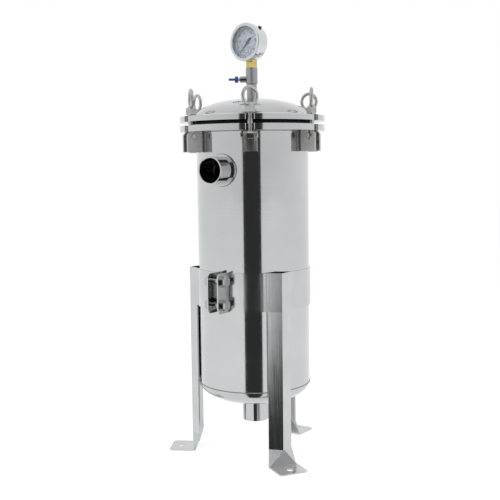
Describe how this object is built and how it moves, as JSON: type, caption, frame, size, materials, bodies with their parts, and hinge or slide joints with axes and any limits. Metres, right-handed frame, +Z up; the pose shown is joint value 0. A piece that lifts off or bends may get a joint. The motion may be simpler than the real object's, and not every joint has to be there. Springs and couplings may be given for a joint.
{
  "type": "bag filter housing",
  "caption": "Upright stainless bag filter housing on folded sheet legs, with a swing-bolt domed lid, pressure gauge, vent valve, side inlet and bottom outlet.",
  "frame": {"origin": "on the floor, on the vessel's vertical axis, at the centre of the foot bolt circle", "axes": "+Z up along the vessel's axis; -Y is the front, where one swing bolt stands; +X is to the right seen from the front"},
  "size_m": [0.294, 0.3003, 0.786],
  "materials": {
    "steel": "satin brushed stainless steel",
    "cast": "as-cast and machined stainless steel",
    "rubber": "matt black rubber",
    "brass": "turned brass",
    "gauge": "polished stainless steel",
    "glass": "clear",
    "dial": "white enamel",
    "pointer": "black paint",
    "handle": "blue plastic",
    "stem": "pale blue plastic",
    "plug": "black rubber",
    "felt": "needled felt",
    "bagring": "moulded plastic"
  },
  "bodies": {
    "vessel": {"shell": "steel", "bottom_dish": "steel", "outlet_nozzle": "steel", "inlet_nozzle": "steel", "inlet_collar": "steel", "body_flange": "steel", "gasket": "rubber", "bolt_bracket_1": "steel", "bolt_bracket_2": "steel", "bolt_bracket_3": "steel", "bolt_bracket_4": "steel", "bolt_bracket_5": "steel", "bolt_bracket_6": "steel", "clevis_pins": "cast", "split_pins": "cast", "seat_ring": "steel", "leg_left": "steel", "leg_front": "steel", "leg_rear": "steel", "clamp_ear_left": "steel", "clamp_ear_right": "steel", "clamp_bolts": "cast", "clamp_nuts": "cast", "clamp_washers": "cast"},
    "lid": {"lid_flange": "steel", "lid_dome": "steel", "riser_nipple": "steel", "tee": "steel", "vent_body": "steel", "gauge_stem": "brass", "gauge_case": "gauge", "gauge_bezel": "gauge", "gauge_lens": "glass", "gauge_dial": "dial", "gauge_fill_plug": "plug"},
    "pointer": {"gauge_pointer": "pointer"},
    "vent": {"vent_stem": "stem", "vent_handle": "handle"},
    "basket": {"basket_body": "steel", "basket_rim": "steel", "basket_bail": "steel", "bag_ring": "bagring", "filter_bag": "felt"},
    "bolt_1": {"swing_bolt_1": "cast"},
    "nut_1": {"eye_nut_1": "cast"},
    "bolt_2": {"swing_bolt_2": "cast"},
    "nut_2": {"eye_nut_2": "cast"},
    "bolt_3": {"swing_bolt_3": "cast"},
    "nut_3": {"eye_nut_3": "cast"},
    "bolt_4": {"swing_bolt_4": "cast"},
    "nut_4": {"eye_nut_4": "cast"},
    "bolt_5": {"swing_bolt_5": "cast"},
    "nut_5": {"eye_nut_5": "cast"},
    "bolt_6": {"swing_bolt_6": "cast"},
    "nut_6": {"eye_nut_6": "cast"}
  },
  "joints": [
    {"name": "lid_lift", "type": "slide", "parent": "vessel", "child": "lid", "axis": [0, 0, 1], "range_m": [0, 0.16]},
    {"name": "basket_lift", "type": "slide", "parent": "vessel", "child": "basket", "axis": [0, 0, 1], "range_m": [0, 0.13]},
    {"name": "vent_turn", "type": "hinge", "parent": "lid", "child": "vent", "pos_m": [-0.025, 0, 0.687], "axis": [-1, 0, 0], "range_deg": [0, 90]},
    {"name": "pointer_sweep", "type": "hinge", "parent": "lid", "child": "pointer", "pos_m": [-0.00616, -0.00788, 0.752], "axis": [0.6157, 0.788, 0], "range_deg": [0, 270]},
    {"name": "bolt_1_swing", "type": "hinge", "parent": "vessel", "child": "bolt_1", "pos_m": [0, -0.122, 0.5835], "axis": [1, 0, 0], "range_deg": [0, 180]},
    {"name": "nut_1_lift", "type": "slide", "parent": "bolt_1", "child": "nut_1", "axis": [0, 0, 1], "range_m": [0, 0.16]},
    {"name": "bolt_2_swing", "type": "hinge", "parent": "vessel", "child": "bolt_2", "pos_m": [0.10565, -0.061, 0.5835], "axis": [0.5, 0.866, 0], "range_deg": [0, 180]},
    {"name": "nut_2_lift", "type": "slide", "parent": "bolt_2", "child": "nut_2", "axis": [0, 0, 1], "range_m": [0, 0.16]},
    {"name": "bolt_3_swing", "type": "hinge", "parent": "vessel", "child": "bolt_3", "pos_m": [0.10565, 0.061, 0.5835], "axis": [-0.5, 0.866, 0], "range_deg": [0, 180]},
    {"name": "nut_3_lift", "type": "slide", "parent": "bolt_3", "child": "nut_3", "axis": [0, 0, 1], "range_m": [0, 0.16]},
    {"name": "bolt_4_swing", "type": "hinge", "parent": "vessel", "child": "bolt_4", "pos_m": [0, 0.122, 0.5835], "axis": [-1, 0, 0], "range_deg": [0, 180]},
    {"name": "nut_4_lift", "type": "slide", "parent": "bolt_4", "child": "nut_4", "axis": [0, 0, 1], "range_m": [0, 0.16]},
    {"name": "bolt_5_swing", "type": "hinge", "parent": "vessel", "child": "bolt_5", "pos_m": [-0.10565, 0.061, 0.5835], "axis": [-0.5, -0.866, 0], "range_deg": [0, 180]},
    {"name": "nut_5_lift", "type": "slide", "parent": "bolt_5", "child": "nut_5", "axis": [0, 0, 1], "range_m": [0, 0.16]},
    {"name": "bolt_6_swing", "type": "hinge", "parent": "vessel", "child": "bolt_6", "pos_m": [-0.10565, -0.061, 0.5835], "axis": [0.5, -0.866, 0], "range_deg": [0, 180]},
    {"name": "nut_6_lift", "type": "slide", "parent": "bolt_6", "child": "nut_6", "axis": [0, 0, 1], "range_m": [0, 0.16]}
  ],
  "couplings": [
    {"joint": "basket_lift", "follows": "lid_lift", "ratio": 0.8},
    {"joint": "nut_1_lift", "follows": "lid_lift", "ratio": 1},
    {"joint": "nut_2_lift", "follows": "lid_lift", "ratio": 1},
    {"joint": "nut_3_lift", "follows": "lid_lift", "ratio": 1},
    {"joint": "nut_4_lift", "follows": "lid_lift", "ratio": 1},
    {"joint": "nut_5_lift", "follows": "lid_lift", "ratio": 1},
    {"joint": "nut_6_lift", "follows": "lid_lift", "ratio": 1}
  ]
}
